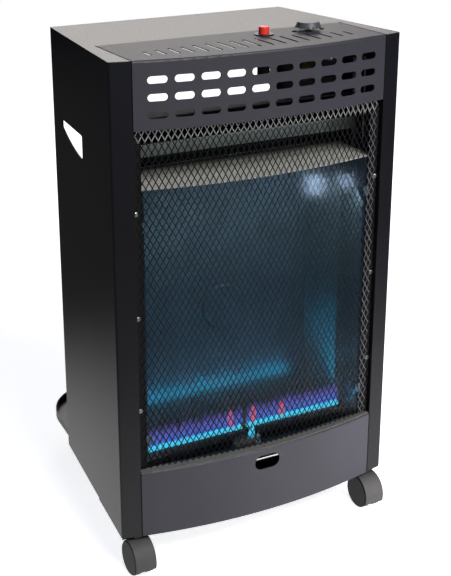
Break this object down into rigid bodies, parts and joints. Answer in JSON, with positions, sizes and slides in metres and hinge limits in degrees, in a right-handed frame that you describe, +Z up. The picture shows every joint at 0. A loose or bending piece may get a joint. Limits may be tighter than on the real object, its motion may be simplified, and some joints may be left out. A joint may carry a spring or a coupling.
{
  "type": "portable gas cabinet heater",
  "caption": "Black cabinet gas heater on casters with a bowed front, fretted control panel, mesh guard over a glass-fronted blue flame burner, and an open bottle bay behind.",
  "frame": {"origin": "on the floor under the middle of the object's outline, at the lowest point of the wheels", "axes": "+Z up, the bowed front with the burner faces -Y, +X to the right for a viewer in front"},
  "size_m": [0.4316, 0.474, 0.7423],
  "materials": {
    "anthracite_powder_coat": "satin anthracite powder coat on pressed steel",
    "black_oxide_steel": "black oxide on steel screws",
    "black_powder_coat": "satin black powder coat on pressed steel sheet",
    "aluminised_steel": "aluminised steel sheet, dull, slightly heat-tinted",
    "visor_steel": "heat-proof pale grey enamel",
    "ceramic_glass": "clear heat-proof ceramic glass",
    "burner_steel": "stainless steel darkened by heat",
    "brass": "machined brass",
    "aluminium_tube": "drawn aluminium tube",
    "copper": "drawn copper",
    "glazed_ceramic": "white glazed ceramic insulator",
    "zinc_steel": "zinc-plated steel",
    "knob_plastic": "moulded dark grey thermoset plastic",
    "black_plastic": "moulded black nylon",
    "red_plastic": "glossy moulded red plastic",
    "caster_plastic": "moulded dark grey nylon"
  },
  "bodies": {
    "root": {"bottle_tray": "black_powder_coat", "caster_stem_front_left": "zinc_steel", "caster_stem_front_right": "zinc_steel", "caster_stem_rear_left": "zinc_steel", "caster_stem_rear_right": "zinc_steel", "chamber_base": "aluminised_steel", "control_panel": "anthracite_powder_coat", "fire_chamber": "aluminised_steel", "flue_header": "aluminised_steel", "front_rail": "black_powder_coat", "gas_pipe": "aluminium_tube", "gas_valve": "brass", "glass_clips": "aluminised_steel", "glass_pane": "ceramic_glass", "glass_rail": "aluminised_steel", "guard_foot_screws": "zinc_steel", "guard_side_screws": "zinc_steel", "heat_shield": "aluminised_steel", "hose_spigot": "brass", "igniter_bezel": "black_plastic", "igniter_body": "black_plastic", "injector": "brass", "injector_bracket": "aluminised_steel", "left_burner_bar": "burner_steel", "left_front_pillar": "black_powder_coat", "left_side_panel": "black_powder_coat", "lower_front_panel": "anthracite_powder_coat", "mesh_guard": "black_powder_coat", "mixing_tube": "burner_steel", "pilot_bracket": "aluminised_steel", "pilot_burner": "brass", "pilot_pipe": "aluminium_tube", "right_burner_bar": "burner_steel", "right_front_pillar": "black_powder_coat", "right_side_panel": "black_powder_coat", "spark_electrode": "glazed_ceramic", "thermocouple": "copper", "thermocouple_lead": "copper", "top_panel": "black_powder_coat", "valve_screws": "black_oxide_steel", "visor": "visor_steel"},
    "valve_spindle": {"valve_spindle": "zinc_steel"},
    "control_knob": {"control_knob": "knob_plastic"},
    "igniter_button": {"igniter_button": "red_plastic"},
    "caster_front_left": {"caster_hood_front_left": "caster_plastic", "caster_axle_front_left": "zinc_steel"},
    "wheel_front_left_left": {"caster_wheel_front_left_left": "caster_plastic"},
    "wheel_front_left_right": {"caster_wheel_front_left_right": "caster_plastic"},
    "caster_front_right": {"caster_hood_front_right": "caster_plastic", "caster_axle_front_right": "zinc_steel"},
    "wheel_front_right_left": {"caster_wheel_front_right_left": "caster_plastic"},
    "wheel_front_right_right": {"caster_wheel_front_right_right": "caster_plastic"},
    "caster_rear_left": {"caster_hood_rear_left": "caster_plastic", "caster_axle_rear_left": "zinc_steel"},
    "wheel_rear_left_left": {"caster_wheel_rear_left_left": "caster_plastic"},
    "wheel_rear_left_right": {"caster_wheel_rear_left_right": "caster_plastic"},
    "caster_rear_right": {"caster_hood_rear_right": "caster_plastic", "caster_axle_rear_right": "zinc_steel"},
    "wheel_rear_right_left": {"caster_wheel_rear_right_left": "caster_plastic"},
    "wheel_rear_right_right": {"caster_wheel_rear_right_right": "caster_plastic"}
  },
  "joints": [
    {"name": "knob_push", "type": "slide", "parent": "root", "child": "valve_spindle", "axis": [0, 0, -1], "range_m": [0, 0.0035], "stiffness_N_per_m": 900},
    {"name": "knob_turn", "type": "hinge", "parent": "valve_spindle", "child": "control_knob", "pos_m": [0.114, -0.136, 0.735], "axis": [0, 0, 1], "range_deg": [-190, 0]},
    {"name": "igniter_press", "type": "slide", "parent": "root", "child": "igniter_button", "axis": [0, 0, -1], "range_m": [0, 0.007], "stiffness_N_per_m": 500},
    {"name": "caster_front_left_swivel", "type": "hinge", "parent": "root", "child": "caster_front_left", "pos_m": [-0.191, -0.1885, 0.055], "axis": [0, 0, 1], "continuous": true},
    {"name": "wheel_front_left_left_spin", "type": "hinge", "parent": "caster_front_left", "child": "wheel_front_left_left", "pos_m": [-0.191, -0.2075, 0.025], "axis": [1, 0, 0], "continuous": true},
    {"name": "wheel_front_left_right_spin", "type": "hinge", "parent": "caster_front_left", "child": "wheel_front_left_right", "pos_m": [-0.191, -0.2075, 0.025], "axis": [1, 0, 0], "continuous": true},
    {"name": "caster_front_right_swivel", "type": "hinge", "parent": "root", "child": "caster_front_right", "pos_m": [0.191, -0.1885, 0.055], "axis": [0, 0, 1], "continuous": true},
    {"name": "wheel_front_right_left_spin", "type": "hinge", "parent": "caster_front_right", "child": "wheel_front_right_left", "pos_m": [0.191, -0.2075, 0.025], "axis": [1, 0, 0], "continuous": true},
    {"name": "wheel_front_right_right_spin", "type": "hinge", "parent": "caster_front_right", "child": "wheel_front_right_right", "pos_m": [0.191, -0.2075, 0.025], "axis": [1, 0, 0], "continuous": true},
    {"name": "caster_rear_left_swivel", "type": "hinge", "parent": "root", "child": "caster_rear_left", "pos_m": [-0.135, 0.161, 0.055], "axis": [0, 0, 1], "continuous": true},
    {"name": "wheel_rear_left_left_spin", "type": "hinge", "parent": "caster_rear_left", "child": "wheel_rear_left_left", "pos_m": [-0.135, 0.142, 0.025], "axis": [1, 0, 0], "continuous": true},
    {"name": "wheel_rear_left_right_spin", "type": "hinge", "parent": "caster_rear_left", "child": "wheel_rear_left_right", "pos_m": [-0.135, 0.142, 0.025], "axis": [1, 0, 0], "continuous": true},
    {"name": "caster_rear_right_swivel", "type": "hinge", "parent": "root", "child": "caster_rear_right", "pos_m": [0.135, 0.161, 0.055], "axis": [0, 0, 1], "continuous": true},
    {"name": "wheel_rear_right_left_spin", "type": "hinge", "parent": "caster_rear_right", "child": "wheel_rear_right_left", "pos_m": [0.135, 0.142, 0.025], "axis": [1, 0, 0], "continuous": true},
    {"name": "wheel_rear_right_right_spin", "type": "hinge", "parent": "caster_rear_right", "child": "wheel_rear_right_right", "pos_m": [0.135, 0.142, 0.025], "axis": [1, 0, 0], "continuous": true}
  ]
}
